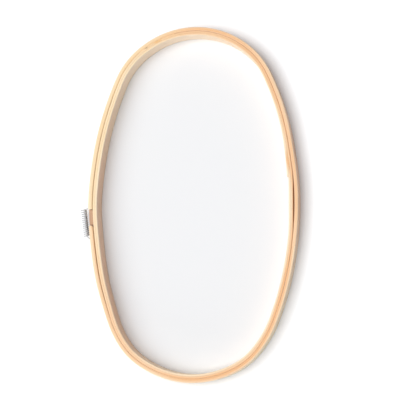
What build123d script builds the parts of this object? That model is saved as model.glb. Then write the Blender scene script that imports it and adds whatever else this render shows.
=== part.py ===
from build123d import *
from math import acos, atan2, cos, degrees, dist, pi, radians, sin, sqrt
import os

# Outer ring: half sizes of its outline, radii of its long sides above and below y = 0, then its strip
half_width = 68.65
half_length = 114.5
top_side_radius = 201.0
bottom_side_radius = 220.1
ring_height = 11.0
outer_thickness = 2.5
outer_edge_rounding = 0.6

# Running gap between the rings, wider along the sides than round the ends
side_gap = 0.65
end_gap = 0.25

# Inner ring: two plies glued face to face
outer_ply_thickness = 1.4
inner_ply_thickness = 1.4
inner_edge_rounding = 0.5

# Scarf of the outer ply at the upper left, and lap of the inner ply at the right
scarf_x = -26.5
scarf_length = 9.0
scarf_tip = 0.35
glue_gap = 0.12
lap_start_y = 39.0
lap_end_y = 14.3
lap_step = 0.9

# Split at the left: where the two ends stop, and their rounded corners
upper_end_y = -3.5
lower_end_y = -14.0
shoulder_rounding = 0.9
nose_rounding = 1.7
small_corner_rounding = 0.5

# Upright line at the right about which the lower arm turns as the split opens
hinge_y = -30.0

# Tongue of the upper end, and the fork of the lower end that it slides in
tongue_cover = 2.4
tongue_engagement = 5.2
tongue_clearance = 0.15
fork_spare_depth = 0.6

# Tension spring: wire, coil, and the legs that go into the ends of the outer ring
wire_diameter = 0.7
coil_diameter = 4.0
coil_pitch = 1.32
coil_turns = 13
coil_stand_off = 4.7
coil_lean = 3.3
coil_centre_y = -11.65
upper_leg_y = -1.6
lower_leg_y = -22.3
leg_depth = 1.5
leg_clearance = 0.05
hole_spare_depth = 0.15

# Overrun of every cut past the face that it opens
overrun = 4.0


def side_radius(width, length, end_radius):
    """Radius of the side arc that runs smoothly into an end arc."""
    return (width**2 + length**2 - 2 * length * end_radius) / (2 * (width - end_radius))


def end_radius_beside(width, length, radius):
    """Radius of the end arc that runs smoothly into a side arc."""
    return (2 * width * radius - width**2 - length**2) / (2 * (radius - length))


def oval_face(inset, end_shift=0, mode=Mode.ADD):
    """The outer ring's outline moved inward by inset, its ends by end_shift less.

    Six arcs: one round each end, and two down each side that meet at y = 0.
    """
    width = half_width - inset
    length = half_length - inset + end_shift
    with BuildLine() as outline:
        for way, full_radius in ((1, top_end_radius), (-1, bottom_end_radius)):
            end_radius = full_radius - inset + end_shift
            radius = side_radius(width, length, end_radius)
            turn = degrees(atan2(length - end_radius, radius - width))
            CenterArc((0, way * (length - end_radius)), end_radius, way * turn, way * (180 - 2 * turn))
            CenterArc((width - radius, 0), radius, 0, way * turn)
            CenterArc((radius - width, 0), radius, 180, -way * turn)
    make_face(outline.edges(), mode=mode)


def ring_face(inset, depth, end_shift=0):
    """Plan of a closed strip, from inset to inset + depth inside the outer ring's outline."""
    oval_face(inset, end_shift)
    oval_face(inset + depth, end_shift, mode=Mode.SUBTRACT)


def top_end_point(radius, angle):
    """Point at that radius and angle about the centre of the top end's arcs."""
    turn = radians(angle)
    return Vector(radius * cos(turn), half_length - top_end_radius + radius * sin(turn))


def outer_face_point(y):
    """Point at y on the ring's outer face, on the left side just below y = 0, and its outward normal."""
    centre_x = bottom_side_radius - half_width
    x = centre_x - sqrt(bottom_side_radius**2 - y**2)
    return Vector(x, y), Vector(x - centre_x, y).normalized()


def cut_side(way_x, way_y, y):
    """Takes away what lies beyond y on one side of the long axis: way_x and way_y are 1 or -1."""
    across = Align.MIN if way_x > 0 else Align.MAX
    along = Align.MIN if way_y > 0 else Align.MAX
    with Locations((0, y)):
        Rectangle(
            half_width + overrun, half_length + abs(y) + overrun,
            align=(across, along), mode=Mode.SUBTRACT,
        )


def end_corners(shape, way_y):
    """The two corners of the strip's end on the left, the outer one first."""
    corners = shape.vertices().filter_by(lambda v: v.X < -(half_width - 2 * outer_thickness))
    ends = corners.sort_by(Axis.Y)[-2:] if way_y > 0 else corners.sort_by(Axis.Y)[:2]
    return ends.sort_by(Axis.X)


def leg_hole(leg_y, height):
    """Drills the hole for a leg of the spring, square to the strip's outer face."""
    point, outward = outer_face_point(leg_y)
    mouth = Plane(origin=(point.X, point.Y, height), z_dir=outward)
    with BuildSketch(mouth.offset(-leg_depth - hole_spare_depth)) as bottom:
        Circle(wire_diameter / 2 + leg_clearance)
    extrude(bottom.sketch, amount=leg_depth + hole_spare_depth + overrun, mode=Mode.SUBTRACT)


def biarc(start, start_way, end, end_way):
    """Two arcs from start to end, each tangent to its way there and both tangent where they meet."""
    chord = end - start
    both = start_way + end_way
    bend = 2 * (1 - start_way.dot(end_way))
    reach = (sqrt(chord.dot(both) ** 2 + bend * chord.dot(chord)) - chord.dot(both)) / bend
    first = start + start_way * reach
    last = end - end_way * reach
    middle = (first + last) * 0.5
    TangentArc(start, middle, tangent=start_way)
    TangentArc(middle, end, tangent=last - first)


os.makedirs("parts", exist_ok=True)

top_end_radius = end_radius_beside(half_width, half_length, top_side_radius)
bottom_end_radius = end_radius_beside(half_width, half_length, bottom_side_radius)
inner_inset = outer_thickness + side_gap
inner_end_shift = side_gap - end_gap
inner_ply_inset = inner_inset + outer_ply_thickness
coil_radius = (coil_diameter - wire_diameter) / 2
mid_height = ring_height / 2
upper_leg_z = mid_height - coil_radius
lower_leg_z = mid_height + coil_radius
tongue_end_y = lower_end_y - tongue_engagement
tongue_height = ring_height - 2 * tongue_cover


# Inner ring, outer ply: a strip bent to the oval, its ends glued in a long scarf
with BuildPart() as outer_ply:
    with BuildSketch():
        ring_face(inner_inset, outer_ply_thickness, inner_end_shift)
    extrude(amount=ring_height)
    rims = outer_ply.faces().filter_by(Axis.Z)
    fillet([edge for rim in rims for edge in rim.outer_wire().edges()], inner_edge_rounding)

    outside = top_end_radius - inner_inset + inner_end_shift
    inside = outside - outer_ply_thickness
    scarf_middle = degrees(acos(scarf_x * 2 / (outside + inside)))
    half_scarf = degrees(scarf_length / (outside + inside))
    with BuildSketch():
        with BuildLine():
            Polyline(
                top_end_point(outside + overrun, scarf_middle - half_scarf),
                top_end_point(outside - scarf_tip, scarf_middle - half_scarf),
                top_end_point(inside + scarf_tip, scarf_middle + half_scarf),
                top_end_point(inside - overrun, scarf_middle + half_scarf),
            )
        trace(line_width=glue_gap)
    extrude(amount=ring_height, mode=Mode.SUBTRACT)
outer_ply.part.label = "inner_ring_outer_ply"
export_step(outer_ply.part, "parts/inner_ring_outer_ply.step")


# Inner ring, inner ply: its upper end laps over the lower one and stops in a square step
with BuildPart() as inner_ply:
    with BuildSketch():
        ring_face(inner_ply_inset, inner_ply_thickness, inner_end_shift)
        width = half_width - inner_ply_inset - inner_ply_thickness
        length = half_length - inner_ply_inset - inner_ply_thickness + inner_end_shift
        end_radius = top_end_radius - inner_ply_inset - inner_ply_thickness + inner_end_shift
        radius = side_radius(width, length, end_radius)
        centre = Vector(width - radius, 0)
        start = Vector(centre.X + sqrt(radius**2 - lap_start_y**2), lap_start_y)
        foot = Vector(centre.X + sqrt(radius**2 - lap_end_y**2), lap_end_y)
        start_outward = (start - centre).normalized()
        foot_outward = (foot - centre).normalized()
        tip = foot - foot_outward * lap_step
        root_depth = inner_ply_thickness / 2
        with BuildLine():
            TangentArc(start, tip, tangent=(start_outward.Y, -start_outward.X))
            Polyline(tip, foot + foot_outward * root_depth, start + start_outward * root_depth, start)
        make_face()
    extrude(amount=ring_height)
    rims = inner_ply.faces().filter_by(Axis.Z)
    inner_edges = [edge for rim in rims for edge in rim.inner_wires()[0].edges()]
    fillet(ShapeList(inner_edges).filter_by(GeomType.CIRCLE), inner_edge_rounding)
inner_ply.part.label = "inner_ring_inner_ply"
export_step(inner_ply.part, "parts/inner_ring_inner_ply.step")


# Outer ring, upper arm: from the hinge line round the top end to the split, with the tongue
with BuildPart() as upper_arm:
    with BuildSketch() as upper_plan:
        ring_face(0, outer_thickness)
        cut_side(1, -1, hinge_y)
        cut_side(-1, -1, upper_end_y)
        fillet(end_corners(upper_plan, -1)[0], shoulder_rounding)
    extrude(amount=ring_height)
    fillet(upper_arm.faces().filter_by(Axis.Z).edges().filter_by(GeomType.CIRCLE), outer_edge_rounding)
    with BuildSketch(Plane.XY.offset(tongue_cover)):
        ring_face(0, outer_thickness)
        cut_side(1, 1, -half_length)
        cut_side(-1, 1, upper_end_y + shoulder_rounding)
        cut_side(-1, -1, tongue_end_y)
    extrude(amount=tongue_height)
    leg_hole(upper_leg_y, upper_leg_z)
upper_arm.part.label = "outer_ring_upper_arm"
export_step(upper_arm.part, "parts/outer_ring_upper_arm.step")


# Outer ring, lower arm: from the split round the bottom end to the hinge line, with the fork
with BuildPart() as lower_arm:
    with BuildSketch() as lower_plan:
        ring_face(0, outer_thickness)
        cut_side(1, 1, hinge_y)
        cut_side(-1, 1, lower_end_y)
        fillet(end_corners(lower_plan, 1)[1], nose_rounding)
        fillet(end_corners(lower_plan, 1)[0], small_corner_rounding)
    extrude(amount=ring_height)
    fillet(lower_arm.faces().filter_by(Axis.Z).edges().filter_by(GeomType.CIRCLE), outer_edge_rounding)
    slot_floor_y = tongue_end_y - fork_spare_depth
    with BuildSketch(Plane.XY.offset(tongue_cover - tongue_clearance)):
        with Locations((-half_width, slot_floor_y)):
            Rectangle(
                4 * outer_thickness, lower_end_y - slot_floor_y + overrun,
                align=(Align.CENTER, Align.MIN),
            )
    extrude(amount=tongue_height + 2 * tongue_clearance, mode=Mode.SUBTRACT)
    leg_hole(lower_leg_y, lower_leg_z)
lower_arm.part.label = "outer_ring_lower_arm"
export_step(lower_arm.part, "parts/outer_ring_lower_arm.step")


# Tension spring: one wire from the hole in the upper end, through the coil, to the hole in the lower.
# The coil is wound left-handed.
upper_point, upper_outward = outer_face_point(upper_leg_y)
lower_point, lower_outward = outer_face_point(lower_leg_y)
chord = (lower_point - upper_point).normalized()
coil_way = chord.rotate(Axis.Z, coil_lean)
coil_outward = Vector(coil_way.Y, -coil_way.X)
seat_middle = upper_point + chord * ((coil_centre_y - upper_point.Y) / chord.Y)
coil_middle = seat_middle - Vector(coil_stand_off, 0) + Vector(0, 0, mid_height)
coil_length = (coil_turns + 0.5) * coil_pitch


def coil_place(turns):
    """Point on the wire's centre line after so many turns, and the way that it runs there.

    The coil starts at its lowest line, outward bound, and ends at its highest, bound for the ring.
    """
    angle = 2 * pi * turns
    upward = Vector(0, 0, 1)
    across = coil_outward * sin(angle) - upward * cos(angle)
    onward = coil_outward * cos(angle) + upward * sin(angle)
    point = coil_middle + coil_way * (turns * coil_pitch - coil_length / 2) + across * coil_radius
    way = onward * (2 * pi * coil_radius) + coil_way * coil_pitch
    return point, way.normalized()


with BuildPart() as spring:
    with BuildLine() as wire_path:
        lift = Vector(0, 0, upper_leg_z)
        upper_tip = upper_point - upper_outward * leg_depth + lift
        upper_bend = upper_point + upper_outward * wire_diameter + lift
        Line(upper_tip, upper_bend)
        place, way = coil_place(0)
        biarc(upper_bend, upper_outward, place, way)
        for quarter in range(4 * coil_turns + 2):
            next_place, next_way = coil_place((quarter + 1) / 4)
            biarc(place, way, next_place, next_way)
            place, way = next_place, next_way
        lift = Vector(0, 0, lower_leg_z)
        lower_bend = lower_point + lower_outward * wire_diameter + lift
        biarc(place, way, lower_bend, -lower_outward)
        Line(lower_bend, lower_point - lower_outward * leg_depth + lift)
    with BuildSketch(Plane(origin=upper_tip, z_dir=upper_outward)):
        Circle(wire_diameter / 2)
    sweep()
spring.part.label = "tension_spring"
export_step(spring.part, "parts/tension_spring.step")


# Least gap of the wire to itself, on points along its centre line that are over half a turn apart
steps = 8
walked = 0.0
points = []
for edge in wire_path.edges():
    for step in range(steps):
        points.append((walked + edge.length * step / steps, tuple(edge.position_at(step / steps))))
    walked += edge.length
half_turn = pi * coil_radius
least = min(
    dist(here, there)
    for place, (along_here, here) in enumerate(points)
    for along_there, there in points[place + 1:]
    if along_there - along_here > half_turn
)
print("spring wire length", round(walked, 1), "least gap to itself", round(least - wire_diameter, 2))
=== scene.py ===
import bpy
import numpy as np
from mathutils import Euler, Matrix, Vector


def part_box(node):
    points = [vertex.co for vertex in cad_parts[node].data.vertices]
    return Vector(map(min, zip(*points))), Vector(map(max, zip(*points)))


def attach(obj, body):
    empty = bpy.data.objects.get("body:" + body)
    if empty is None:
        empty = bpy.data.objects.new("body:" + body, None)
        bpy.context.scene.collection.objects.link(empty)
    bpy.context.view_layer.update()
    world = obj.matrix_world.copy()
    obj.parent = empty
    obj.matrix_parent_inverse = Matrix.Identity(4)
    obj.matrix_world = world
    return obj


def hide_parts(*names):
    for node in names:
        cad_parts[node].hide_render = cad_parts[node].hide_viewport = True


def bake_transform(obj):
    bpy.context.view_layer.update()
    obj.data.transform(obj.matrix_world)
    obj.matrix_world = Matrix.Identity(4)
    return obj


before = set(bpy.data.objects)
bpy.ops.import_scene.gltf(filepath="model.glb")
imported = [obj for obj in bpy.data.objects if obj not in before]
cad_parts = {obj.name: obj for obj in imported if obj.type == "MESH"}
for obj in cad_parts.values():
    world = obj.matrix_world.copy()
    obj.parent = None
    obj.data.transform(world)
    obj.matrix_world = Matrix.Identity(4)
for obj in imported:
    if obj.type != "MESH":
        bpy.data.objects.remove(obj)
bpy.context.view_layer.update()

# Sizes are in millimetres here, and turned to metres where a mesh, lamp or camera is made.
mm = 0.001
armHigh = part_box("outer_ring_upper_arm")[1]

# The hoop as a whole. Its three overall sizes are read from the frame.
hoop = {
    "halfWidth": armHigh.x / mm,
    "halfLength": armHigh.y / mm,
    "height": armHigh.z / mm,
    "topSideRadius": 201.0,
    "bottomSideRadius": 220.1,
    "outerThickness": 2.5,    # of the outer ring's strip
    "sideGap": 0.32,          # running gap between the rings, along the sides
    "endGap": 0.06,           # and round the ends, where they are pressed together
    "step": 0.8,              # spacing of the cross sections along a strip
    "searchSteps": 40000,     # places tried along an outline when one is looked up
    "cornerSteps": 5,         # faces round each rounded edge
    "topPoints": (0.04, 0.5, 0.96),   # places of the points across a strip's top and underside
    "roundingLimit": 0.45,    # largest rounding, as a share of the strip's thickness
    "gluedBelow": 0.045,      # an edge with less rounding than this has a glue line along it
    # Where the bent hoop leaves its even oval: share of the way round, width as a share, height in mm.
    "bows": (
        (0.05, 0.022, -0.3), (0.11, 0.035, 0.4), (0.16, 0.032, 0.35), (0.33, 0.025, 0.35),
        (0.5, 0.03, 0.5), (0.58, 0.025, 0.3), (0.672, 0.025, 0.7), (0.75, 0.04, -0.05),
        (0.81, 0.022, 0.5), (0.86, 0.03, -0.4),
    ),
    "swell": 0.35,            # how much thicker the outer ring is at the left, setting the inner one inward
    "innerSwell": 0.2,        # and the inner ring
    "swellMiddle": 0.47,      # middle and half length of that stretch, as shares of the way round
    "swellHalf": 0.2,
    "leftWidening": 0.25,     # how much wider the gap is below the split
    "leftMiddle": 0.57,       # middle and width of that stretch, as shares of the way round
    "leftWidth": 0.045,
    "rightPress": 0.2,        # how much narrower the gap is along the right side
    "lensWidening": 0.7,      # how much wider it is where the inner ring has sprung in, at the right
    "lensMiddle": -2.0,       # middle and half length of that stretch, from the outline's widest point
    "lensHalf": 24.0,
}


# A ring's outline: six arcs, counterclockwise from the widest point on the right, each meeting the next
# smoothly. A row is centre x, centre y, radius, starting angle. The end arcs follow from the side arcs.
def ovalOutline(inset=0.0, endShift=0.0):
    wide, long = hoop["halfWidth"], hoop["halfLength"]
    width, length = wide - inset, long - inset + endShift
    arcs = []
    for sideFull in (hoop["topSideRadius"], hoop["bottomSideRadius"]):
        endFull = (2 * wide * sideFull - wide**2 - long**2) / (2 * (sideFull - long))
        end = endFull - inset + endShift
        side = (width**2 + length**2 - 2 * length * end) / (2 * (width - end))
        arcs.append((side, end, np.arctan2(length - end, side - width)))
    (sideT, endT, turnT), (sideB, endB, turnB) = arcs
    rows = np.array([
        (width - sideT, 0, sideT, 0),
        (0, length - endT, endT, turnT),
        (sideT - width, 0, sideT, np.pi - turnT),
        (sideB - width, 0, sideB, np.pi),
        (0, endB - length, endB, np.pi + turnB),
        (width - sideB, 0, sideB, 2 * np.pi - turnB),
    ])
    sweeps = np.diff(np.append(rows[:, 3], 2 * np.pi))
    lengths = rows[:, 2] * sweeps
    return {"rows": rows, "starts": np.cumsum(lengths) - lengths, "total": lengths.sum()}


# How far the hoop has bowed outward, in mm, at a share of the way round: a sum of smooth bell-shaped bumps.
def bowing(share):
    total = 0.0 * share
    for middle, width, height in hoop["bows"]:
        past = np.mod(share - middle + 0.5, 1) - 0.5
        total = total + height * np.exp(-(past / width)**2)
    return total


# Place on a strip, a distance along the outline and a depth inward of it. Every depth keeps the arc's
# centre, so a point is the centre plus (radius - depth + bowing) in the direction of the angle reached.
def placeOn(outline, along, depth):
    along = np.mod(along, outline["total"])
    arc = np.searchsorted(outline["starts"], along, side="right") - 1
    centreX, centreY, radius, start = np.moveaxis(outline["rows"][arc], -1, 0)
    angle = start + (along - outline["starts"][arc]) / radius
    reach = radius - depth + bowing(along / outline["total"])
    return centreX + reach * np.cos(angle), centreY + reach * np.sin(angle)


# Distance along the outline of its point at height y, on the right (side 1) or the left (side -1).
def alongAt(outline, side, y):
    fine = np.linspace(0, outline["total"], hoop["searchSteps"] + 1)[:-1]
    placeX, placeY = placeOn(outline, fine, 0.0)
    near = np.where(placeX * side > 0, np.abs(placeY - y), np.inf)
    return fine[np.argmin(near)]


# Share of the swell reached at a share of the way round: a half wave over its stretch.
def swelling(share):
    return np.cos(np.clip((share % 1 - hoop["swellMiddle"]) / hoop["swellHalf"], -1, 1) * np.pi / 2)


# How far the inner ring stands inward of its even place, at a distance along its outline: a smooth wave
# at the lens, less the press along the right, plus a bell below the split and the outer ring's swell.
def innerSway(outline, along):
    past = np.mod(along + outline["total"] / 2, outline["total"]) - outline["total"] / 2
    lens = np.cos(np.clip((past - hoop["lensMiddle"]) / hoop["lensHalf"], -1, 1) * np.pi / 2)**2
    press = np.clip(np.cos(2 * np.pi * past / outline["total"]), 0, 1)**2
    lower = np.exp(-((along / outline["total"] % 1 - hoop["leftMiddle"]) / hoop["leftWidth"])**2)
    widened = hoop["lensWidening"] * lens - hoop["rightPress"] * press + hoop["leftWidening"] * lower
    return widened + hoop["swell"] * swelling(along / outline["total"])


# Stations from first to last, equally spaced and at most step apart.
def evenly(first, last, step):
    return np.linspace(first, last, int(np.ceil(abs(last - first) / step)) + 1)


# Stations closer and closer together towards first, for a corner rounded by reach.
def closing(first, reach, count=8):
    return first + reach * (1 - np.cos(np.linspace(0, np.pi / 2, count)))


# How much a corner of radius reach takes off at a distance past the strip's end.
def cornerCut(past, reach):
    return reach - np.sqrt(reach**2 - np.clip(reach - past, 0, reach)**2)


# Cross section of a strip: up its outer face, inward over the top, down the inner face and back below.
# A point's depth and height are shares of the strip's thickness and height, plus so many outer and
# inner edge roundings. The last two columns say how near it is to the outer and inner rounded edges.
def stripSection(levels=(0.5,)):
    turn = np.linspace(0, np.pi / 2, hoop["cornerSteps"] + 1)
    away, off, edge = 1 - np.cos(turn), 1 - np.sin(turn), np.sin(2 * turn)
    levels, shares = np.array(levels), np.array(hoop["topPoints"])

    def rows(*columns):
        size = max(np.size(column) for column in columns)
        return np.column_stack([np.broadcast_to(column, size) for column in columns])

    return np.vstack([
        rows(0, away[::-1], 0, 0, off[::-1], 0, edge[::-1], 0),
        rows(0, 0, 0, levels, 0, 0, 0, 0),
        rows(0, away, 0, 1, -off, 0, edge, 0),
        rows(shares, 1 - shares, -shares, 1, 0, 0, 0, 0),
        rows(1, 0, -away[::-1], 1, 0, -off[::-1], 0, edge[::-1]),
        rows(1, 0, 0, levels[::-1], 0, 0, 0, 0),
        rows(1, 0, -away, 0, 0, off, 0, edge),
        rows(shares[::-1], 1 - shares[::-1], -shares[::-1], 0, 0, 0, 0, 0),
    ])


# One strip as a closed shell: its cross section carried along the outline from station to station,
# with a face over each end. low and high are the depths of its outer and inner faces at each station.
# slot, where it is given, is (last station, lower level, upper level) of a fork cut in at the start.
# ends says how much of the end grain's tone is on the strip's two ends.
def stripShell(outline, along, low, high, bottom, top, outerRound, innerRound,
               levels=(0.5,), slot=None, ends=(1, 1)):
    section = stripSection(levels)
    low, high = np.broadcast_to(low, along.shape), np.broadcast_to(high, along.shape)
    thick = (high - low)[:, None]
    outer = np.minimum(outerRound, hoop["roundingLimit"] * thick)
    inner = np.minimum(innerRound, hoop["roundingLimit"] * thick)
    share, perOuter, perInner, rise, upOuter, upInner, edgeOuter, edgeInner = section.T
    depth = low[:, None] + thick * share + outer * perOuter + inner * perInner
    height = bottom + (top - bottom) * rise + outer * upOuter + inner * upInner
    placeX, placeY = placeOn(outline, along[:, None] + 0 * depth, depth)

    stations, points = depth.shape
    i, j = np.meshgrid(np.arange(stations - 1), np.arange(points), indexing="ij")
    onward = (j + 1) % points
    quads = np.stack([i * points + j, (i + 1) * points + j,
                      (i + 1) * points + onward, i * points + onward], -1)
    ring = np.arange(points)
    farEnd = ((stations - 1) * points + ring[::-1]).tolist()
    if slot is None:
        faces = quads.reshape(-1, 4).tolist() + [ring.tolist(), farEnd]
    else:
        # The uprights' points at the slot's two levels, on the outer and then on the inner face.
        last, lower, upper = slot
        outerFirst = hoop["cornerSteps"] + 1
        innerFirst = 3 * outerFirst + len(levels) + len(hoop["topPoints"])
        outLow, outHigh = outerFirst + lower, outerFirst + upper
        inHigh, inLow = (innerFirst + len(levels) - 1 - level for level in (upper, lower))
        mouth = ((j >= outLow) & (j < outHigh)) | ((j >= inHigh) & (j < inLow))
        kept = quads[~(mouth & (i < last))]
        cut = np.arange(last)
        ceiling = np.stack([cut * points + inHigh, (cut + 1) * points + inHigh,
                            (cut + 1) * points + outHigh, cut * points + outHigh], -1)
        floor = np.stack([cut * points + outLow, (cut + 1) * points + outLow,
                          (cut + 1) * points + inLow, cut * points + inLow], -1)
        wall = last * points + np.append(ring[outLow:outHigh + 1], ring[inHigh:inLow + 1])
        upperEnd = ring[outHigh:inHigh + 1]
        lowerEnd = np.append(ring[inLow:], ring[:outLow + 1])
        faces = kept.tolist() + ceiling.tolist() + floor.tolist()
        faces += [wall.tolist(), upperEnd.tolist(), lowerEnd.tolist(), farEnd]

    endShare = np.zeros(depth.shape)
    endShare[0], endShare[-1] = ends
    outerGlued, innerGlued = outer < hoop["gluedBelow"], inner < hoop["gluedBelow"]
    return {
        "vertices": np.stack([placeX, placeY, height], -1).reshape(-1, 3),
        "faces": faces,
        "stripPlace": np.stack([along[:, None] + 0 * depth, depth, height], -1).reshape(-1, 3),
        "edgeShare": (edgeOuter * ~outerGlued + edgeInner * ~innerGlued).reshape(-1),
        "glueShare": ((edgeOuter > 0) * outerGlued + (edgeInner > 0) * innerGlued).reshape(-1) * 1.0,
        "endShare": endShare.reshape(-1),
        "swell": (swelling(along / outline["total"])[:, None] + 0 * depth).reshape(-1),
    }


# A mesh object of one or more shells, with their per-point values as attributes.
def makePiece(name, shells, material, sharpAngle=40):
    mesh = bpy.data.meshes.new(name)
    faces, start = [], 0
    for shell in shells:
        faces += [[start + corner for corner in face] for face in shell["faces"]]
        start += len(shell["vertices"])
    mesh.from_pydata((np.vstack([shell["vertices"] for shell in shells]) * mm).tolist(), [], faces)
    for key in shells[0]:
        if key in ("vertices", "faces", "swell"):
            continue
        values = np.concatenate([shell[key] for shell in shells])
        kind, field = ("FLOAT_VECTOR", "vector") if values.ndim == 2 else ("FLOAT", "value")
        mesh.attributes.new(key, kind, "POINT").data.foreach_set(field, values.astype(np.float32).ravel())
    mesh.shade_smooth()
    mesh.set_sharp_from_angle(angle=np.radians(sharpAngle))
    mesh.materials.append(material)
    mesh.update()
    piece = bpy.data.objects.new(name, mesh)
    bpy.context.scene.collection.objects.link(piece)
    return piece


# A colour given as it should look, 0 to 255, turned to the linear values that a shader takes.
def tint(red, green, blue):
    share = np.array((red, green, blue)) / 255
    return (*np.where(share <= 0.04045, share / 12.92, ((share + 0.055) / 1.055)**2.4).tolist(), 1.0)


# Adds a node. Inputs are given by name or place: another node's output is linked, a value is set.
def addNode(tree, kind, inputs=(), **settings):
    node = tree.nodes.new(kind)
    for setting, value in settings.items():
        setattr(node, setting, value)
    for key, value in dict(inputs).items():
        if isinstance(value, bpy.types.NodeSocket):
            tree.links.new(value, node.inputs[key])
        else:
            node.inputs[key].default_value = value
    return node


def newMaterial(name):
    material = bpy.data.materials.new(name)
    material.use_nodes = True
    tree = material.node_tree
    return material, tree, tree.nodes["Principled BSDF"]


def calc(tree, operation, first, second=0.0, third=0.0):
    node = addNode(tree, "ShaderNodeMath", {0: first, 1: second, 2: third}, operation=operation)
    return node.outputs[0]


# The node's inputs 0, 6 and 7 are the share of the second colour, and the two colours.
def mixColour(tree, share, first, second):
    return addNode(tree, "ShaderNodeMix", {0: share, 6: first, 7: second}, data_type="RGBA").outputs[2]


# Noise in a strip's own unbent space, stretched along the strip, spread over 0 to 1 between low and high.
# shift moves it, by a different amount in each direction, so that no two patterns are alike.
def stripNoise(tree, place, scales, shift, detail=2.0, low=0.3, high=0.7):
    moved = addNode(tree, "ShaderNodeVectorMath", {0: place, 1: scales, 2: (shift, shift * 1.7, shift * 0.6)},
                    operation="MULTIPLY_ADD").outputs[0]
    noise = addNode(tree, "ShaderNodeTexNoise", {"Vector": moved, "Scale": 1.0, "Detail": detail,
                                                 "Roughness": 0.5})
    spread = addNode(tree, "ShaderNodeMapRange", {0: noise.outputs[0], 1: low, 2: high, 3: 0.0, 4: 1.0})
    return spread.outputs[0]


# Pale bent wood. Bands and fibres run along the strip; the tone drifts round the ring.
# A pattern's scales are along the strip, through it and up it, per mm.
# Besides the wood's own tones, it takes painted light and shade on its walls, its inner edge and the tongue.
wood = {
    "cream": (255, 240, 210),
    "peach": (243, 186, 130),
    "straw": (249, 212, 150),     # in the peach's place at the left
    "brown": (186, 126, 78),
    "line": (208, 152, 102),
    "rawAndShade": (176, 128, 94),        # sawn face of the tongue, darker too as painted shade from the spring and the shoulder
    "wall": (232, 182, 156),      # inner wall at both sides: painted shade at the left, where it faces away from the light, and a deeper tone at the right, where it faces it; also painted shade on the outer wall at the right
    "topWallLit": (255, 233, 206),   # painted light on the inner wall round the top, where the light falls on it
    "wornEdge": (255, 240, 216),
    # end grain's own tone, also laid on as painted shade at the tongue's mouth
    "endGrainAndShade": (112, 78, 54),
    "glue": (132, 90, 54),
    "driftScales": (0.018, 0.05, 0.04),
    "bandScales": (0.005, 0.9, 0.42),
    "lineScales": (0.012, 4.2, 2.0),
    "fibreScales": (0.16, 13.0, 9.0),
    "fleckScales": (0.45, 5.5, 4.0),
    "bandWeight": 0.5,
    "driftWeight": 0.4,
    "lineWeight": 0.2,
    "fibreWeight": 0.14,
    "fleckWeight": 0.3,
    "glueWeight": 0.35,
    "wallShadeWeight": 0.6,
    "rawAndShadeWeight": 0.85,
    "endWeight": 0.85,
    "wornWeight": 0.4,            # most wear along an edge, where the drift is full, past the least
    "wornLeast": 0.1,
    "roughness": 0.45,
    "fibreRoughness": 0.16,       # added by the fibres
    "wornRoughness": -0.08,       # and by the wear
    "bumpStrength": 0.5,
    "bumpHeight": 0.02,           # mm
    "lineBump": 0.6,              # height of the lines and the flecks against the fibres
    "fleckBump": -0.8,
}


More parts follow.
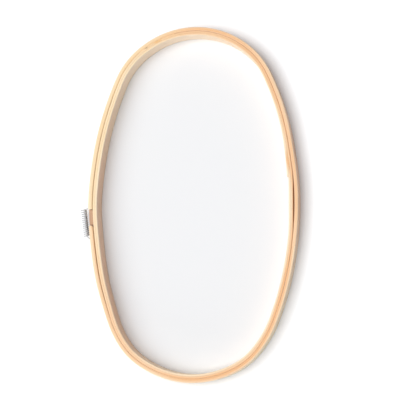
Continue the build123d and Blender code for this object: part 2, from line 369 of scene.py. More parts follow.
def woodMaterial(name, seed):
    material, tree, shader = newMaterial(name)
    place = addNode(tree, "ShaderNodeAttribute", attribute_name="stripPlace").outputs["Vector"]

    def share(attribute):
        return addNode(tree, "ShaderNodeAttribute", attribute_name=attribute).outputs["Fac"]

    drift = stripNoise(tree, place, wood["driftScales"], seed, detail=1.0)
    band = stripNoise(tree, place, wood["bandScales"], seed + 3.1, detail=2.5)
    line = stripNoise(tree, place, wood["lineScales"], seed + 7.7, low=0.42, high=0.75)
    fibre = stripNoise(tree, place, wood["fibreScales"], seed + 11.3, detail=3.0)
    fleck = stripNoise(tree, place, wood["fleckScales"], seed + 19.9, detail=1.0, low=0.66, high=0.74)

    drifting = calc(tree, "SUBTRACT", drift, 0.5)
    banding = calc(tree, "SUBTRACT", band, 0.5)
    tone = calc(tree, "MULTIPLY_ADD", drifting, wood["driftWeight"], share("warmShare"))
    tone = calc(tree, "MULTIPLY_ADD", banding, wood["bandWeight"], tone)
    tone = addNode(tree, "ShaderNodeClamp", {0: tone}).outputs[0]
    deep = mixColour(tree, share("leftShare"), tint(*wood["peach"]), tint(*wood["straw"]))
    colour = mixColour(tree, tone, tint(*wood["cream"]), deep)
    colour = mixColour(tree, calc(tree, "MULTIPLY", line, wood["lineWeight"]), colour, tint(*wood["line"]))
    colour = mixColour(tree, calc(tree, "MULTIPLY", fibre, wood["fibreWeight"]), colour, tint(*wood["line"]))
    colour = mixColour(tree, calc(tree, "MULTIPLY", fleck, wood["fleckWeight"]), colour, tint(*wood["brown"]))
    wear = calc(tree, "MULTIPLY_ADD", drift, wood["wornWeight"], wood["wornLeast"])
    worn = calc(tree, "MULTIPLY", share("edgeShare"), wear)
    colour = mixColour(tree, worn, colour, tint(*wood["wornEdge"]))
    # Painted light on the inner wall round the top, then painted shade on the walls.
    colour = mixColour(tree, share("topWallLitShare"), colour, tint(*wood["topWallLit"]))
    wall = calc(tree, "MULTIPLY", share("wallShadeShare"), wood["wallShadeWeight"])
    colour = mixColour(tree, wall, colour, tint(*wood["wall"]))
    # The tongue's sawn tone, partly painted shade from the spring and the shoulder above it.
    rawAndShade = calc(tree, "MULTIPLY", share("rawAndShadeShare"), wood["rawAndShadeWeight"])
    colour = mixColour(tree, rawAndShade, colour, tint(*wood["rawAndShade"]))
    # endShare holds the end grain and the painted shade at the tongue's mouth.
    end = calc(tree, "MULTIPLY", share("endShare"), wood["endWeight"])
    colour = mixColour(tree, end, colour, tint(*wood["endGrainAndShade"]))
    glued = calc(tree, "MULTIPLY", share("glueShare"), wood["glueWeight"])
    colour = mixColour(tree, glued, colour, tint(*wood["glue"]))

    rough = calc(tree, "MULTIPLY_ADD", fibre, wood["fibreRoughness"], wood["roughness"])
    rough = calc(tree, "MULTIPLY_ADD", worn, wood["wornRoughness"], rough)
    grain = calc(tree, "MULTIPLY_ADD", line, wood["lineBump"], fibre)
    grain = calc(tree, "MULTIPLY_ADD", fleck, wood["fleckBump"], grain)
    bump = addNode(tree, "ShaderNodeBump", {"Strength": wood["bumpStrength"], "Height": grain,
                                            "Distance": wood["bumpHeight"] * mm})
    tree.links.new(colour, shader.inputs["Base Color"])
    tree.links.new(rough, shader.inputs["Roughness"])
    tree.links.new(bump.outputs[0], shader.inputs["Normal"])
    return material


# Drawn steel wire: die lines along it, a dull bloom in patches, and painted shade where the turns face each
# other.
steel = {
    "bright": (200, 202, 205),
    "dull": (166, 168, 171),
    # painted shade between the turns
    "turnShade": (110, 106, 102),
    "lineScales": (0.12, 6.0, 6.0),   # along the wire and round it
    "bloomScales": (0.25, 1.2, 1.2),
    "bloomWeight": 0.6,
    "lineWeight": 0.3,
    "turnShadeWeight": 0.85,
    "roughness": 0.5,
    "bloomRoughness": 0.15,           # added by the bloom
    "turnShadeRoughness": 0.2,            # and where the shade between the turns is painted
    "bumpStrength": 0.5,
    "bumpHeight": 0.008,              # mm
}


def steelMaterial(name):
    material, tree, shader = newMaterial(name)
    place = addNode(tree, "ShaderNodeAttribute", attribute_name="wirePlace").outputs["Vector"]
    lines = stripNoise(tree, place, steel["lineScales"], 2.0, detail=3.0)
    bloom = stripNoise(tree, place, steel["bloomScales"], 9.0)
    betweenTurns = addNode(tree, "ShaderNodeAttribute", attribute_name="facingShare").outputs["Fac"]
    dulled = calc(tree, "MULTIPLY", bloom, steel["bloomWeight"])
    colour = mixColour(tree, dulled, tint(*steel["bright"]), tint(*steel["dull"]))
    colour = mixColour(tree, calc(tree, "MULTIPLY", lines, steel["lineWeight"]), colour, tint(*steel["dull"]))
    # Painted shade where the turns face each other, from the facingShare attribute.
    shadeBetweenTurns = calc(tree, "MULTIPLY", betweenTurns, steel["turnShadeWeight"])
    colour = mixColour(tree, shadeBetweenTurns, colour, tint(*steel["turnShade"]))
    rough = calc(tree, "MULTIPLY_ADD", bloom, steel["bloomRoughness"], steel["roughness"])
    rough = calc(tree, "MULTIPLY_ADD", betweenTurns, steel["turnShadeRoughness"], rough)
    bump = addNode(tree, "ShaderNodeBump", {"Strength": steel["bumpStrength"], "Height": lines,
                                            "Distance": steel["bumpHeight"] * mm})
    shader.inputs["Metallic"].default_value = 1.0
    tree.links.new(colour, shader.inputs["Base Color"])
    tree.links.new(rough, shader.inputs["Roughness"])
    tree.links.new(bump.outputs[0], shader.inputs["Normal"])
    return material


# How warm the wood's tone is: a mean, how far the right, the top and both ends shift it, and how much
# paler the hoop's outermost and innermost edges are than the wood beside the gap between the rings.
# Several entries paint light and shade: on the inner and outer walls and along the inner edge.
tones = {
    "mean": 0.7,
    "right": 0.12,
    "top": 0.02,
    "ends": 0.12,
    "paleEdges": 0.5,
    "paleFrom": 0.4,          # share of the way from the gap to the edge where the tone is the mean one
    "gapDepth": 2.8,          # of the gap between the rings, mm inward of the hoop's outline
    "innerEdgeLit": 0.5,     # painted light: how much paler the inner edge is towards the bearing below, where the inner wall faces the light
    "innerEdgeMost": 1.2,     # share of that way past which it gets no paler
    "litBearing": -30.0,     # degrees round from the right
    "wallMargin": 0.12,       # mm of the rounded edge that count as inner wall
    "wallPale": 0.9,          # how much paler the inner wall is where it isn't in shade
    "facingWall": 0.8,        # share of the wall's tone that it has at the right, where it faces the light
    "shadeFrom": 0.15,        # cosine of the bearing from which the inner wall is in shade, on to the left
    "highFrom": 0.2,          # where the wall's painted shade gives way to its painted light round the top, and how fast
    "highSlope": 1.5,
    "highWeight": 0.9,
    "outerWallDepth": 0.25,   # mm of depth that count as outer wall, and the last of it that fades
    "outerWallFade": 0.2,
    "outerWallReach": 0.3,    # how far it goes on past the top and the bottom, as a cosine
    "outerWallPale": 0.8,     # how much paler it is painted at the lower right, in place of the shade
    "outerWallTurn": 1.3,     # how fast it changes towards there
    "innerPale": 0.22,        # how much paler the inner ring's top is at the left
    "leftSlope": 1.3,         # how fast the left's tone comes in, and goes out again below
    "leftFade": 1.6,
}


# Adds a strip's tones to its shell. inset is the depth at which the strip lies, 0 for the outer ring,
# and wallDepth the strip's own depth at its inner wall. right and top are the cosine and the sine of a
# point's bearing, so each share rises or falls smoothly round the ring.
def withTones(shell, inset, rawAndShade=0.0, wallDepth=np.inf):
    placeX, placeY = shell["vertices"][:, 0], shell["vertices"][:, 1]
    angle = np.arctan2(placeY / hoop["halfLength"], placeX / hoop["halfWidth"])
    right, top = np.cos(angle), np.sin(angle)
    isInner = inset > 0
    shift = tones["right"] * right + tones["top"] * top - tones["ends"] * np.cos(2 * angle)
    swollen = (hoop["swell"] + hoop["innerSwell"]) * shell["swell"] * isInner
    depth = shell["stripPlace"][:, 1] + inset - swollen
    inward = (depth - tones["gapDepth"]) / tones["gapDepth"]
    warm = tones["mean"] + shift - tones["paleEdges"] * (np.abs(inward) - tones["paleFrom"])
    # Painted light on the inner edge towards the lower right, where the inner wall faces the light.
    lowerRight = np.clip(np.cos(angle - np.radians(tones["litBearing"])), 0, 1)
    warm -= tones["innerEdgeLit"] * np.clip(inward, 0, tones["innerEdgeMost"]) * lowerRight
    # Painted shade on the outer wall at the right, which faces away from the light; towards the lower right
    # it is painted paler instead.
    outerFace = np.clip((tones["outerWallDepth"] - depth) / tones["outerWallFade"], 0, 1)
    outerFace = outerFace * np.clip(right + tones["outerWallReach"], 0, 1)
    outerWallShade = outerFace * np.clip(1 + tones["outerWallTurn"] * top, 0, 1)
    warm -= tones["outerWallPale"] * outerFace * np.clip(-tones["outerWallTurn"] * top, 0, 1)
    # Painted light and shade on the inner wall: shade to the left, paler where light falls on it, a deeper
    # tone at the right where it faces the light, and paler again round the top.
    wall = np.clip(1 + (shell["stripPlace"][:, 1] - wallDepth) / tones["wallMargin"], 0, 1)
    facing = np.clip(right, 0, 1)
    shaded = np.clip(tones["shadeFrom"] - right, 0, 1)
    warm -= tones["wallPale"] * wall * (1 - shaded)
    left = np.clip(-tones["leftSlope"] * right, 0, 1) * np.clip(1 + tones["leftFade"] * top, 0, 1)
    warm -= tones["innerPale"] * left * isInner
    high = np.clip(tones["highSlope"] * top - tones["highFrom"], 0, 1)
    toned = np.maximum(shaded * (1 - tones["highWeight"] * high), tones["facingWall"] * facing)
    return shell | {
        "warmShare": warm,
        "wallShadeShare": wall * toned + outerWallShade,
        "topWallLitShare": wall * high * (1 - facing),
        "leftShare": left,
        "rawAndShadeShare": np.full(len(warm), rawAndShade),
    }


# Inner ring, outer ply: one strip whose ends overlap in a long glued scarf at the upper left.
outerPly = {
    "thickness": 1.4,
    "rounding": 0.5,          # its outer edges, top and bottom
    "glueRounding": 0.04,     # its inner edges, against the other ply
    "overlapRounding": 0.08,  # share of the rounding that is left over the scarf
    "scarfX": -26.5,
    "scarfLength": 9.0,
    "scarfStep": 0.4,         # spacing of the cross sections there
    "tip": 0.35,              # thickness of the strip's blunt tips
    "tipLength": 0.3,
    "glueGap": 0.06,
    "flushHalf": 17.0,        # half length of the stretch about the scarf where the rings are sanded flush
    "flushPower": 0.5,        # below 1, the wear stays nearly full further out from the scarf
    "pressedMiddle": 0.745,   # middle and width of the same at the lower end, as shares of the way round
    "pressedWidth": 0.075,
    "pressedFlush": 0.85,     # how flush the rings are there
    "worn": 0.9,              # share of the rounding that is gone where the rings are flush
    "patchLength": 2.2,       # a deeper tone at the scarf's right tip
    "patchWarmth": 0.6,
    "blotLength": 1.1,        # glue squeezed out at its left tip
    "blotDepth": 0.8,
    "blotWeight": 2.0,
    "seed": 4.0,
}
innerInset = hoop["sideGap"] + hoop["outerThickness"]
innerShift = hoop["sideGap"] - hoop["endGap"]

outline = ovalOutline(innerInset, innerShift)
scarfTotal = outline["total"]
halfway = np.linspace(0, scarfTotal / 2, hoop["searchSteps"] // 2 + 1)
halfwayX = placeOn(outline, halfway, outerPly["thickness"] / 2)[0]
scarfMiddle = halfway[np.argmin(np.abs(halfwayX - outerPly["scarfX"]))]
scarfStart = scarfMiddle - outerPly["scarfLength"] / 2
scarfEnd = scarfMiddle + outerPly["scarfLength"] / 2
outerPlyAlong = np.unique(np.concatenate([
    evenly(scarfStart, scarfEnd - outerPly["tipLength"], outerPly["scarfStep"]),
    [scarfEnd],
    evenly(scarfEnd, scarfTotal + scarfStart, hoop["step"]),
    evenly(scarfTotal + scarfStart + outerPly["tipLength"], scarfTotal + scarfEnd, outerPly["scarfStep"]),
]))
# From its start the strip thickens from a tip on its outer face, and at its end it thins to one inside.
startShare = np.clip((outerPlyAlong - scarfStart) / (outerPly["scarfLength"] - outerPly["tipLength"]), 0, 1)
endPast = outerPlyAlong - scarfTotal - scarfStart - outerPly["tipLength"]
endShare = np.clip(endPast / (outerPly["scarfLength"] - outerPly["tipLength"]), 0, 1)
scarfRise = outerPly["thickness"] - 2 * outerPly["tip"]
plyHigh = np.where(outerPlyAlong < scarfEnd, outerPly["tip"] + scarfRise * startShare, outerPly["thickness"])
plyLow = np.where(endPast >= 0, outerPly["tip"] + scarfRise * endShare + outerPly["glueGap"], 0.0)


# Share to which the edges beside the gap are worn away: a half wave about the scarf, and a bell round
# the lower end.
def flushShare(share):
    past = (share - scarfMiddle / scarfTotal) * scarfTotal / outerPly["flushHalf"]
    atScarf = np.cos(np.clip(past, -1, 1) * np.pi / 2)**outerPly["flushPower"]
    low = np.exp(-((share % 1 - outerPly["pressedMiddle"]) / outerPly["pressedWidth"])**2)
    return np.maximum(atScarf, outerPly["pressedFlush"] * low)


sway = innerSway(outline, outerPlyAlong)
roundingLeft = 1 - outerPly["worn"] * flushShare(outerPlyAlong / scarfTotal % 1)
roundingLeft = np.where(endPast >= 0, outerPly["overlapRounding"], roundingLeft)
outerPlyShell = stripShell(
    outline, outerPlyAlong, plyLow + sway, plyHigh + sway, 0.0, hoop["height"],
    (outerPly["rounding"] * roundingLeft)[:, None], outerPly["glueRounding"],
)
outerPlyShell = withTones(outerPlyShell, innerInset)
pastTips = [np.abs(outerPlyShell["stripPlace"][:, 0] % scarfTotal - tip) for tip in (scarfStart, scarfEnd)]
outerPlyShell["warmShare"] += outerPly["patchWarmth"] * np.exp(-(pastTips[0] / outerPly["patchLength"])**2)
blot = outerPly["blotWeight"] * np.exp(-(pastTips[1] / outerPly["blotLength"])**2)
blot = blot * (outerPlyShell["stripPlace"][:, 1] < outerPly["blotDepth"])
outerPlyShell["glueShare"] = np.maximum(outerPlyShell["glueShare"], blot)
outerPlyPiece = makePiece("inner_ring_outer_ply_wood", [outerPlyShell],
                          woodMaterial("outerPlyWood", outerPly["seed"]))
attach(outerPlyPiece, "inner_ring")
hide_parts("inner_ring_outer_ply")
print("outer ply built")


# Inner ring, inner ply: its upper end rides over the lower one at the right, and stops in a step.
innerPly = {
    "thickness": 1.4,
    "rounding": 0.5,          # its inner edges, top and bottom
    "glueRounding": 0.04,     # its outer edges, against the other ply
    "lapStartY": 39.0,
    "lapEndY": 14.3,
    "lapSpacing": 0.5,        # of the cross sections there
    "lapStep": 0.9,           # thickness of the upper strip where it stops
    "lapCorner": 0.2,         # rounding of the step's corner
    "lapEndTone": 0.25,       # share of the end grain's tone on the step
    "featherEdge": 0.05,
    "patchY": 23.5,           # a deeper tone in the lap
    "patchLength": 6.0,
    "patchWarmth": 0.8,
    "seed": 23.0,
}
outline = ovalOutline(innerInset + outerPly["thickness"], innerShift)
lapEnd = alongAt(outline, 1, innerPly["lapEndY"])
lapStart = alongAt(outline, 1, innerPly["lapStartY"])
innerPlyAlong = np.unique(np.concatenate([
    closing(lapEnd, innerPly["lapCorner"]),
    evenly(lapEnd + innerPly["lapCorner"], lapStart, innerPly["lapSpacing"]),
    evenly(lapStart, outline["total"] + lapEnd, hoop["step"]),
    evenly(outline["total"] + lapEnd, outline["total"] + lapStart, innerPly["lapSpacing"]),
]))
# Share of the lap reached: 0 where it starts, above, and 1 where the upper strip stops.
overShare = np.clip((lapStart - innerPlyAlong) / (lapStart - lapEnd), 0, 1)
underShare = np.clip((outline["total"] + lapStart - innerPlyAlong) / (lapStart - lapEnd), 0, 1)
plyLow = innerPly["thickness"] * overShare
stepCut = cornerCut(innerPlyAlong - lapEnd, innerPly["lapCorner"])
plyHigh = np.where(
    overShare > 0,
    innerPly["thickness"] + innerPly["lapStep"] * overShare - stepCut,
    innerPly["thickness"] * underShare + innerPly["featherEdge"] * (1 - underShare),
)
underLap = innerPlyAlong > outline["total"] + lapEnd + innerPly["lapSpacing"] / 2
sway = innerSway(outline, innerPlyAlong)
innerWall = plyHigh + sway + hoop["innerSwell"] * swelling(innerPlyAlong / outline["total"])
innerPlyShell = stripShell(
    outline, innerPlyAlong, plyLow + sway, innerWall, 0.0, hoop["height"], innerPly["glueRounding"],
    np.where(underLap, innerPly["glueRounding"], innerPly["rounding"])[:, None],
    ends=(innerPly["lapEndTone"], 0),
)
wallDepth = np.interp(innerPlyShell["stripPlace"][:, 0], innerPlyAlong, innerWall)
innerPlyShell = withTones(innerPlyShell, innerInset + outerPly["thickness"], wallDepth=wallDepth)
pastPatch = innerPlyShell["stripPlace"][:, 0] % outline["total"] - alongAt(outline, 1, innerPly["patchY"])
innerPlyShell["warmShare"] += innerPly["patchWarmth"] * np.exp(-(pastPatch / innerPly["patchLength"])**2)
innerPlyPiece = makePiece("inner_ring_inner_ply_wood", [innerPlyShell],
                          woodMaterial("innerPlyWood", innerPly["seed"]))
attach(innerPlyPiece, "inner_ring")
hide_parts("inner_ring_inner_ply")
print("inner ply built")


# Outer ring, upper arm: round the top end to the split, where it narrows to a tongue.
upperArm = {
    "rounding": 0.6,
    "worn": 0.85,             # share of its inner rounding that is gone where the rings are flush
    "seamY": -30.0,           # where the two arms meet at the right
    "endY": -3.5,
    "shoulder": 0.9,          # rounding of its end's outer corner
    "tongueEndY": -19.2,
    "tongueBottom": 2.4,
    "tongueTop": 8.6,
    "tongueRounding": 0.2,
    "tongueCorner": 0.3,      # rounding of the tongue's end
    "tongueStep": 0.2,        # spacing of its cross sections
    "rootLength": 1.5,        # how far the tongue starts inside the strip
    "rootInset": 0.05,        # how much slimmer it is in there, so that no two faces lie together
    "rootMargin": 0.1,
    "mouthY": -14.0,          # where the tongue goes into the other arm's fork, with painted shade on it at the mouth
    "mouthShadeStart": 0.2,        # how far before the mouth the painted shade is still full, and how it fades from there
    "mouthShadeFade": 0.6,
    "seed": 41.0,
}
outline = ovalOutline()
seam = alongAt(outline, 1, upperArm["seamY"]) - outline["total"]
upperEnd = alongAt(outline, -1, upperArm["endY"])
upperAlong = np.unique(np.concatenate([
    evenly(seam, upperEnd - upperArm["shoulder"], hoop["step"]),
    closing(upperEnd, -upperArm["shoulder"]),
]))
upperRounding = upperArm["rounding"] * (1 - upperArm["worn"] * flushShare(upperAlong / outline["total"]))
upperShell = stripShell(
    outline, upperAlong, cornerCut(upperEnd - upperAlong, upperArm["shoulder"]),
    hoop["outerThickness"] + hoop["swell"] * swelling(upperAlong / outline["total"]),
    0.0, hoop["height"], upperArm["rounding"], upperRounding[:, None], ends=(0, 1),
)
tongueEnd = alongAt(outline, -1, upperArm["tongueEndY"])
tongueCorner = upperArm["tongueCorner"]
tongueAlong = np.unique(np.append(
    evenly(upperEnd - upperArm["rootLength"], tongueEnd - tongueCorner, upperArm["tongueStep"]),
    closing(tongueEnd, -tongueCorner),
))
tongueCut = cornerCut(tongueEnd - tongueAlong, tongueCorner)
tongueRoot = upperArm["rootInset"] * (tongueAlong < upperEnd - upperArm["rootMargin"])
tongueShell = stripShell(
    outline, tongueAlong, tongueCut + tongueRoot, hoop["outerThickness"] - tongueCut - tongueRoot,
    upperArm["tongueBottom"], upperArm["tongueTop"], upperArm["tongueRounding"], upperArm["tongueRounding"],
)
# Painted shade on the tongue where it goes into the fork, laid on in the end grain's tone.
pastMouth = tongueShell["stripPlace"][:, 0] - alongAt(outline, -1, upperArm["mouthY"])
beforeMouthShade = np.minimum(pastMouth + upperArm["mouthShadeStart"], 0)
tongueShell["endShare"] = np.exp(-(beforeMouthShade / upperArm["mouthShadeFade"])**2)
upperPiece = makePiece("outer_ring_upper_wood",
                       [withTones(upperShell, 0), withTones(tongueShell, 0, rawAndShade=1.0)],
                       woodMaterial("upperArmWood", upperArm["seed"]))
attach(upperPiece, "outer_ring_upper")
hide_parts("outer_ring_upper_arm")
print("upper arm built")


# Outer ring, lower arm: round the bottom end, with a fork at the split that takes the tongue.
lowerArm = {
    "rounding": 0.6,
    "worn": 0.85,             # share of its inner rounding that is gone where the rings are flush
    "endY": -14.0,
    "nose": 1.7,              # rounding of its end's inner corner
    "smallCorner": 0.5,       # and of the outer one
    "noseStep": 0.15,         # spacing of the cross sections round the end
    "forkStep": 0.5,          # and on to the fork's floor
    "slotFloorY": -19.8,
    "slotBottom": 2.25,
    "slotTop": 8.75,
    "warmth": 0.25,           # a deeper tone near its end
    "warmReach": 40.0,
    "strawLoss": 0.7,         # share of the left's straw tone that is missing there
    "bendEnd": (0.0366, -0.07, 0.0055),   # a point on the arm, in metres
}
lowerEnd = alongAt(outline, -1, lowerArm["endY"])
slotFloor = alongAt(outline, -1, lowerArm["slotFloorY"])
lowerAlong = np.unique(np.concatenate([
    closing(lowerEnd, lowerArm["smallCorner"]),
    evenly(lowerEnd + lowerArm["smallCorner"], lowerEnd + lowerArm["nose"], lowerArm["noseStep"]),
    evenly(lowerEnd + lowerArm["nose"], slotFloor, lowerArm["forkStep"]),
    evenly(slotFloor, outline["total"] + seam, hoop["step"]),
]))
pastEnd = lowerAlong - lowerEnd
lowerRounding = lowerArm["rounding"] * (1 - lowerArm["worn"] * flushShare(lowerAlong / outline["total"]))
lowerShell = stripShell(
    outline, lowerAlong, cornerCut(pastEnd, lowerArm["smallCorner"]),
    hoop["outerThickness"] + hoop["swell"] * swelling(lowerAlong / outline["total"])
    - cornerCut(pastEnd, lowerArm["nose"]),
    0.0, hoop["height"], lowerArm["rounding"], lowerRounding[:, None],
    levels=(lowerArm["slotBottom"] / hoop["height"], lowerArm["slotTop"] / hoop["height"]),
    slot=(int(np.argmin(np.abs(lowerAlong - slotFloor))), 0, 1), ends=(1, 0),
)
lowerShell = withTones(lowerShell, 0)
nearEnd = np.exp(-((lowerShell["stripPlace"][:, 0] - lowerEnd) / lowerArm["warmReach"])**2)
lowerShell["warmShare"] += lowerArm["warmth"] * nearEnd
lowerShell["leftShare"] *= 1 - lowerArm["strawLoss"] * nearEnd
lowerPiece = makePiece("outer_ring_lower_wood", [lowerShell],
                       woodMaterial("lowerArmWood", upperArm["seed"]))
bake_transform(lowerPiece)
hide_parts("outer_ring_lower_arm")
print("lower arm built")


# Tension spring: one wire, from a hole in the upper end through the coil to a hole in the lower.
spring = {
    "wire": 0.7,
    "coil": 4.0,              # outside diameter of the coil
    "pitch": 1.32,
    "turns": 13.5,
    "standOff": 4.2,          # of the coil's middle from the line between the holes
    "lean": 3.3,              # degrees
    "middleY": -11.65,
    "upperLegY": -1.6,
    "lowerLegY": -22.3,
    "legDepth": 1.5,
    "pointsATurn": 28,
    "pointsALeg": 5,
    "pointsABend": 14,
    "pointsRound": 18,
    "facingPower": 4,         # higher keeps the painted shade closer to where the turns face each other
    "stretchStart": (-0.0023, 0.0055),    # y and z of two points along the spring, in metres
    "stretchEnd": (-0.0219, 0.0055),
}


# A point of the hoop's outer face at the left, at height y and level 0, and the direction outward there.
def outwardAt(y):
    along = np.array([alongAt(outline, -1, y)])
    outer, inner = (np.array(placeOn(outline, along, depth)).ravel() for depth in (0.0, 1.0))
    return np.append(outer, 0.0), np.append(outer - inner, 0.0)


# Smooth path from one point to another that leaves and arrives in the given directions: a cubic in the
# share t of the way, weighed so that its ends and its end slopes are the given ones.
def hermite(first, firstWay, last, lastWay):
    t = np.linspace(0, 1, spring["pointsABend"])[:, None]
    reach = np.linalg.norm(last - first)
    return ((1 + 2 * t) * (1 - t)**2 * first + t * (1 - t)**2 * reach * firstWay
            + t**2 * (3 - 2 * t) * last + t**2 * (t - 1) * reach * lastWay)


upperHole, upperOut = outwardAt(spring["upperLegY"])
lowerHole, lowerOut = outwardAt(spring["lowerLegY"])
coilRadius = (spring["coil"] - spring["wire"]) / 2
upward = np.array((0.0, 0.0, 1.0))
upperHole[2] = hoop["height"] / 2 - coilRadius
lowerHole[2] = hoop["height"] / 2 + coilRadius
chord = (lowerHole - upperHole) * (1, 1, 0)
chord /= np.linalg.norm(chord)
lean = np.radians(spring["lean"])
coilWay = np.array((chord[0] * np.cos(lean) - chord[1] * np.sin(lean),
                    chord[0] * np.sin(lean) + chord[1] * np.cos(lean), 0.0))
coilOut = np.array((coilWay[1], -coilWay[0], 0.0))
coilMiddle = upperHole + chord * ((spring["middleY"] - upperHole[1]) / chord[1])
coilMiddle = coilMiddle * (1, 1, 0) - (spring["standOff"], 0, 0) + upward * hoop["height"] / 2
# The coil's centre line: round its axis at the coil's radius, and on by one pitch a turn.
turns = np.linspace(0, spring["turns"], int(spring["turns"] * spring["pointsATurn"]) + 1)[:, None]
angle = 2 * np.pi * turns
coilLine = (coilMiddle + coilWay * (turns - spring["turns"] / 2) * spring["pitch"]
            + coilRadius * (coilOut * np.sin(angle) - upward * np.cos(angle)))
coilSlope = spring["pitch"] / (2 * np.pi * coilRadius)
startWay = (coilOut + coilWay * coilSlope) / np.hypot(1, coilSlope)
finishWay = (-coilOut + coilWay * coilSlope) / np.hypot(1, coilSlope)
upperBend = upperHole + upperOut * spring["wire"]
lowerBend = lowerHole + lowerOut * spring["wire"]
wireLine = np.vstack([
    np.linspace(upperHole - upperOut * spring["legDepth"], upperBend, spring["pointsALeg"])[:-1],
    hermite(upperBend, upperOut, coilLine[0], startWay)[:-1],
    coilLine,
    hermite(coilLine[-1], finishWay, lowerBend, -lowerOut)[1:],
    np.linspace(lowerBend, lowerHole - lowerOut * spring["legDepth"], spring["pointsALeg"])[1:],
])
# The tube round it: at each point a circle square to the line, turned so that it starts along the coil.
onward = np.gradient(wireLine, axis=0)
onward /= np.linalg.norm(onward, axis=1)[:, None]
across = coilWay - onward * (onward @ coilWay)[:, None]
across /= np.linalg.norm(across, axis=1)[:, None]
beside = np.cross(onward, across)
circle = np.linspace(0, 2 * np.pi, spring["pointsRound"], endpoint=False)
circleWay = across[:, None] * np.cos(circle)[None, :, None] + beside[:, None] * np.sin(circle)[None, :, None]
tube = wireLine[:, None] + spring["wire"] / 2 * circleWay
stations, points = tube.shape[:2]
i, j = np.meshgrid(np.arange(stations - 1), np.arange(points), indexing="ij")
nextJ = (j + 1) % points
tubeFaces = np.stack([(i + 1) * points + j, (i + 1) * points + nextJ, i * points + nextJ, i * points + j], -1)
startCap = np.arange(points)
endCap = (stations - 1) * points + startCap[::-1]
walked = np.append(0, np.cumsum(np.linalg.norm(np.diff(wireLine, axis=0), axis=1)))
wireShell = {
    "vertices": tube.reshape(-1, 3),
    "faces": tubeFaces.reshape(-1, 4).tolist() + [startCap.tolist(), endCap.tolist()],
    "wirePlace": np.stack([walked[:, None] + 0 * circle, 0 * walked[:, None] + np.cos(circle),
                           0 * walked[:, None] + np.sin(circle)], -1).reshape(-1, 3),
    # painted shade on the sides of the wire that face the next turns
    "facingShare": (np.abs(np.cos(circle))**spring["facingPower"] + 0 * walked[:, None]).reshape(-1),
}
springPiece = makePiece("tension_spring_wire", [wireShell], steelMaterial("springSteel"))
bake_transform(springPiece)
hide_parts("tension_spring")
print("spring built")


# Floor, light and camera.
stage = {
    "floorDrop": 0.05,        # below the rings, mm
    "floorTone": (243, 244, 246),
    # Depths inward of the hoop's outline, in mm, of the lines between which the floor's faces are laid.
    "floorDepths": (40.0, 3.0, 0.0, -1.5, -3.0, -4.5, -6.0, -9.0, -12.0, -30.0, -3000.0),
    "floorStep": 4.0,         # length of those faces along the outline
    "floorWhitening": 0.45,   # added outside the hoop for the camera alone, so that the background is white
    "whiteningStart": 1.0,    # mm outside the hoop where it begins
    "whiteningEnd": 14.0,     # and where it is in full
    "wash": 5.0,              # the whitening starts this much nearer, in mm, about the lower right
    "washAngle": -47.0,       # degrees round from the right
    "washWidth": 28.0,
    "washReach": 8.0,         # mm outside the hoop over which it fades
    "washInner": 1.0,         # mm inside the outline past which there is none
    "skyLevel": 0.195,        # share of the floor's light that comes from all round
    "panelDistance": 4.0,     # metres
    "panelPatches": 200,      # patches each way into which a panel is divided to find its power
    # Each panel: share of the floor's light, degrees from straight above, degrees round from the right,
    # and the half angles that it fills in the direction of its tilt and across.
    "panels": {
        "overheadPanel": (0.78, 25.0, 187.0, 40.0, 20.0),
        "frontPanel": (0.035, 78.0, 262.0, 8.0, 34.0),
    },
    "cameraPlace": (153.79, -85.66, 673.55),
    "cameraTurn": (0.1265, 0.2198, 0.0),
    "cameraLens": 96.7,
    "cameraSensor": 36.0,
    "cameraNear": 0.01,       # metres
}
floorMaterial, tree, shader = newMaterial("floorWhite")
outside = addNode(tree, "ShaderNodeAttribute", attribute_name="outsideHoop").outputs["Fac"]
whitening = addNode(tree, "ShaderNodeMapRange", {0: outside, 1: stage["whiteningStart"],
                                                 2: stage["whiteningEnd"], 3: 0.0,
                                                 4: stage["floorWhitening"]}).outputs[0]
cameraRay = addNode(tree, "ShaderNodeLightPath").outputs["Is Camera Ray"]
shader.inputs["Base Color"].default_value = tint(*stage["floorTone"])
shader.inputs["Roughness"].default_value = 1.0
shader.inputs["Specular IOR Level"].default_value = 0.0
shader.inputs["Emission Color"].default_value = (1.0, 1.0, 1.0, 1.0)
tree.links.new(calc(tree, "MULTIPLY", whitening, cameraRay), shader.inputs["Emission Strength"])

# The floor is laid out from the hoop's outline, so that it knows how far outside the hoop a point is.
# The wash fades as a bell round the hoop, and by a constant share for each mm outside it.
floorDepths = np.array(stage["floorDepths"])
floorAlong = evenly(0, outline["total"], stage["floorStep"])[:-1]
depths, alongs = np.meshgrid(floorDepths, floorAlong)
floorX, floorY = placeOn(outline, alongs, depths)
floorAngle = np.arctan2(floorY / hoop["halfLength"], floorX / hoop["halfWidth"])
pastWash = (floorAngle - np.radians(stage["washAngle"])) / np.radians(stage["washWidth"])
wash = stage["wash"] * np.exp(-pastWash**2) * np.exp(np.minimum(depths, 0) / stage["washReach"])
outsideHoop = wash * (depths < stage["washInner"]) - depths
floorPlaces = np.stack([floorX, floorY, 0 * floorX - stage["floorDrop"]], -1).reshape(-1, 3) * mm
i, j = np.meshgrid(np.arange(floorAlong.size), np.arange(floorDepths.size - 1), indexing="ij")
size, nextI = floorDepths.size, (i + 1) % floorAlong.size
floorFaces = np.stack([i * size + j, i * size + j + 1, nextI * size + j + 1, nextI * size + j], -1)
middleFace = np.arange(floorAlong.size) * size
floorMesh = bpy.data.meshes.new("floor")
floorMesh.from_pydata(floorPlaces.tolist(), [], floorFaces.reshape(-1, 4).tolist() + [middleFace.tolist()])
outsideData = floorMesh.attributes.new("outsideHoop", "FLOAT", "POINT").data
outsideData.foreach_set("value", outsideHoop.astype(np.float32).ravel())
floorMesh.materials.append(floorMaterial)
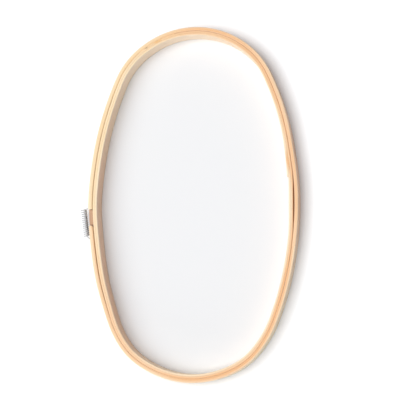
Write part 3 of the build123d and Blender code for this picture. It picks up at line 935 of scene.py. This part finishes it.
floor = bpy.data.objects.new("floor", floorMesh)
bpy.context.scene.collection.objects.link(floor)


# Each lamp is a wide panel. Its power follows from the level that it should give on the floor: the sum
# over the panel of each patch's share of the sky, weighed by how squarely its light meets the floor.
def makePanel(name, level, tilt, bearing, tallHalf, wideHalf):
    away = stage["panelDistance"]
    tilt, bearing = np.radians(tilt), np.radians(bearing)
    towards = np.array((np.sin(tilt) * np.cos(bearing), np.sin(tilt) * np.sin(bearing), np.cos(tilt)))
    sideways = np.array((-np.sin(bearing), np.cos(bearing), 0.0))
    uphill = np.cross(towards, sideways)
    wide, tall = away * np.tan(np.radians(wideHalf)), away * np.tan(np.radians(tallHalf))
    spread = (np.arange(stage["panelPatches"]) + 0.5) * 2 / stage["panelPatches"] - 1
    places = towards * away + spread[:, None, None] * wide * sideways + spread[None, :, None] * tall * uphill
    distance = np.linalg.norm(places, axis=-1)
    patch = 4 * wide * tall / distance.size * away / distance**3
    sight = (patch * np.maximum(places[..., 2], 0) / distance).sum()
    data = bpy.data.lights.new(name, "AREA")
    data.shape = "RECTANGLE"
    data.size, data.size_y = 2 * wide, 2 * tall
    data.energy = level * np.pi**2 * 4 * wide * tall / sight
    lamp = bpy.data.objects.new(name, data)
    lamp.location = Vector(towards) * away
    lamp.rotation_euler = Vector(towards).to_track_quat("Z", "Y").to_euler()
    bpy.context.scene.collection.objects.link(lamp)
    return lamp


[makePanel(name, *panel) for name, panel in stage["panels"].items()]

# The room is white to the camera and in reflections, and gives only the sky's level as light.
world = bpy.data.worlds.new("roomLight")
bpy.context.scene.world = world
world.use_nodes = True
tree = world.node_tree
rays = addNode(tree, "ShaderNodeLightPath")
seen = calc(tree, "MAXIMUM", rays.outputs["Is Camera Ray"], rays.outputs["Is Glossy Ray"])
seen = calc(tree, "MAXIMUM", seen, rays.outputs["Is Transmission Ray"])
level = addNode(tree, "ShaderNodeMapRange", {0: seen, 3: stage["skyLevel"], 4: 1.0}).outputs[0]
tree.links.new(level, tree.nodes["Background"].inputs["Color"])

scene = bpy.context.scene
cameraData = bpy.data.cameras.new("photoCamera")
cameraData.lens = stage["cameraLens"]
cameraData.sensor_width = stage["cameraSensor"]
cameraData.clip_start = stage["cameraNear"]
camera = bpy.data.objects.new("photoCamera", cameraData)
camera.location = Vector(stage["cameraPlace"]) * mm
camera.rotation_euler = Euler(stage["cameraTurn"])
scene.collection.objects.link(camera)
scene.camera = camera
scene.view_settings.view_transform = "Standard"
print("stage set")
